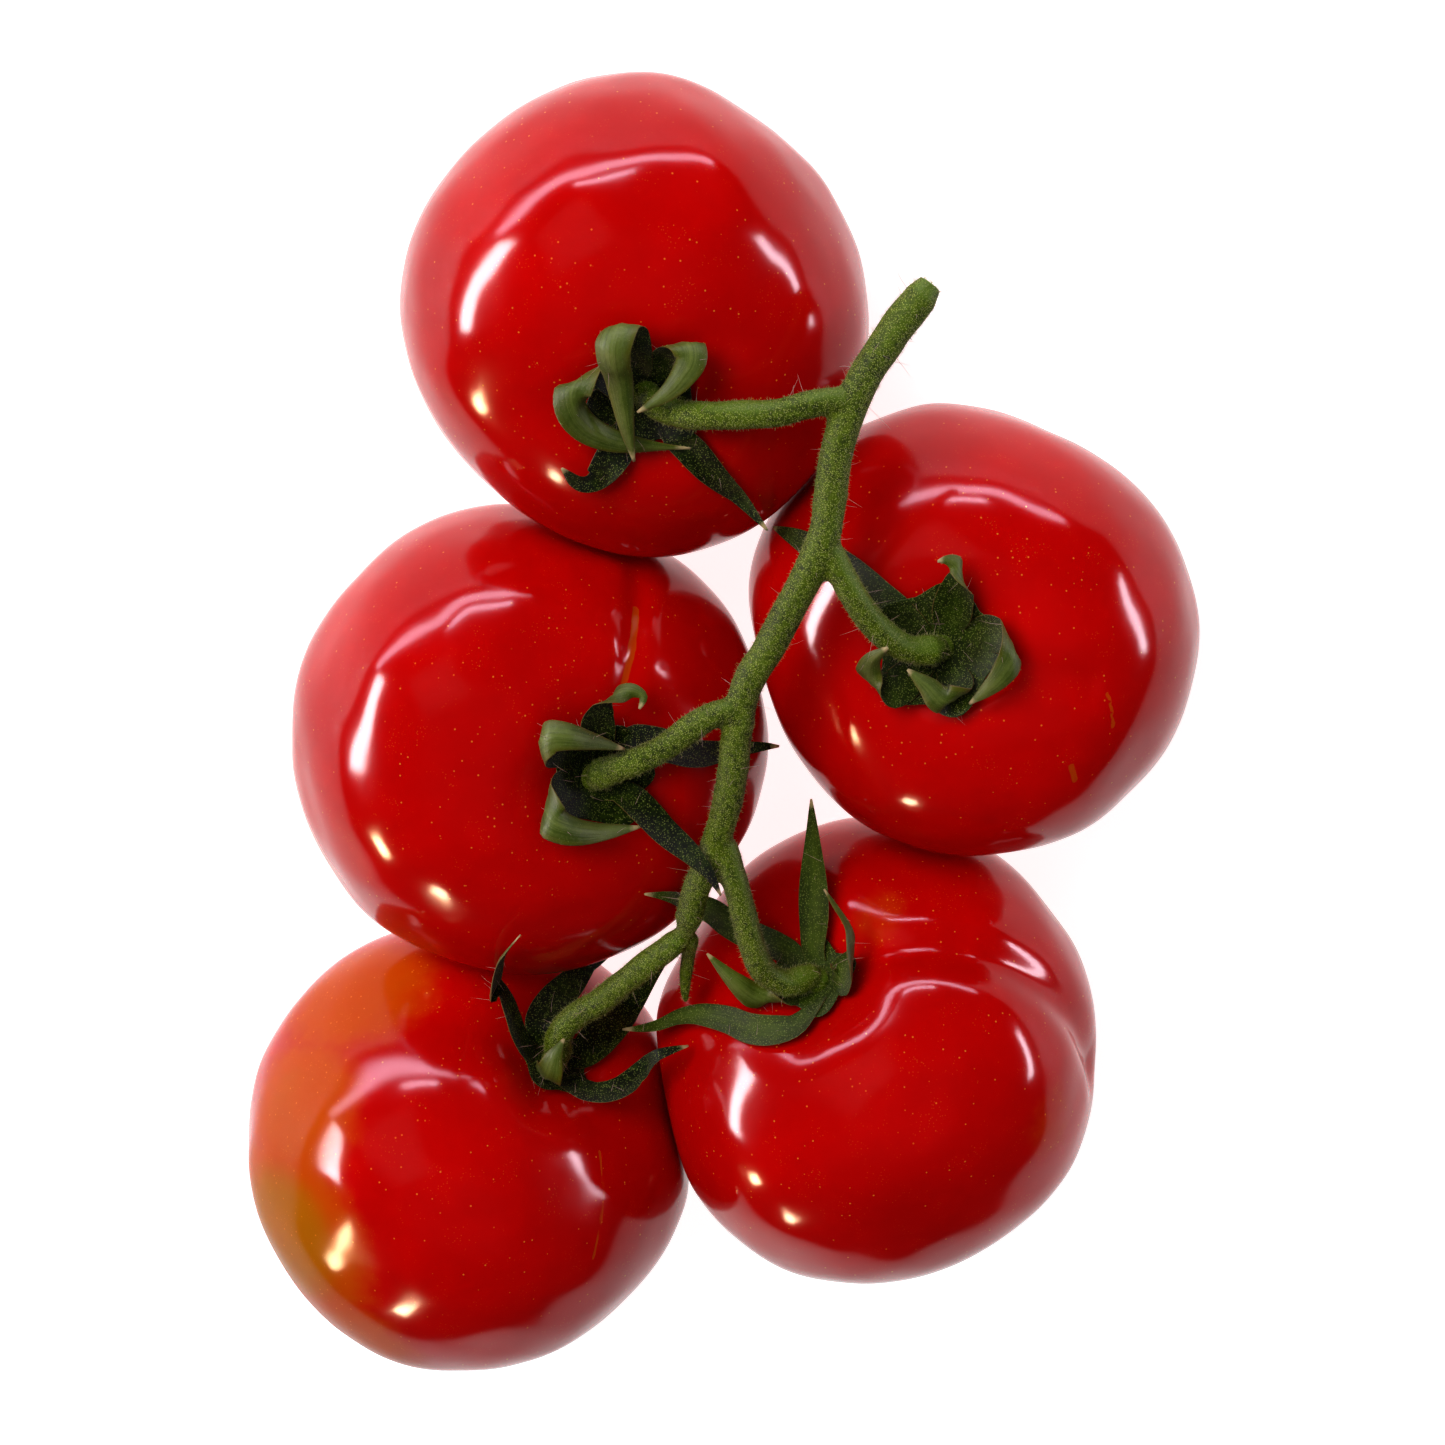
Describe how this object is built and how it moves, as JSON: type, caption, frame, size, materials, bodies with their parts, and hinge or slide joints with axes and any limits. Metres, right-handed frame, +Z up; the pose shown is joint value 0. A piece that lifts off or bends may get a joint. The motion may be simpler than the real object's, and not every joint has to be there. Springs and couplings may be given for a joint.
{
  "type": "truss of tomatoes",
  "caption": "Ripe tomatoes still joined by one branching green stem, each with a calyx of curled sepals, lying on a level surface.",
  "frame": {"origin": "on the resting surface, under the middle of the whole truss", "axes": "+Z up; +Y along the truss towards the cut end of the main stem; +X to the right when the truss is seen from above with the cut end at the top"},
  "size_m": [0.143, 0.1978, 0.07],
  "materials": {
    "skin": "smooth waxy tomato skin, high gloss, red with fine pale specks",
    "stem": "matt green plant stem with a dense fuzz of fine hairs",
    "sepal": "matt green leafy sepal, paler and smoother underneath, dry pale tip"
  },
  "bodies": {
    "root": {"tomato_1": "skin", "tomato_2": "skin", "tomato_3": "skin", "tomato_4": "skin", "tomato_5": "skin", "empty_stalk": "stem", "main_stem": "stem", "stalk_1": "stem", "stalk_2": "stem", "stalk_3": "stem", "stalk_4": "stem", "stalk_5": "stem", "calyx_1": "sepal", "calyx_2": "sepal", "calyx_3": "sepal", "calyx_4": "sepal", "calyx_5": "sepal", "sepal_1_1": "sepal", "sepal_1_2": "sepal", "sepal_1_3": "sepal", "sepal_1_4": "sepal", "sepal_1_5": "sepal", "sepal_2_1": "sepal", "sepal_2_2": "sepal", "sepal_2_3": "sepal", "sepal_2_4": "sepal", "sepal_2_5": "sepal", "sepal_3_1": "sepal", "sepal_3_2": "sepal", "sepal_3_3": "sepal", "sepal_3_4": "sepal", "sepal_3_5": "sepal", "sepal_4_1": "sepal", "sepal_4_2": "sepal", "sepal_4_3": "sepal", "sepal_4_4": "sepal", "sepal_4_5": "sepal", "sepal_5_1": "sepal", "sepal_5_2": "sepal", "sepal_5_3": "sepal", "sepal_5_4": "sepal", "sepal_5_5": "sepal"}
  },
  "joints": []
}
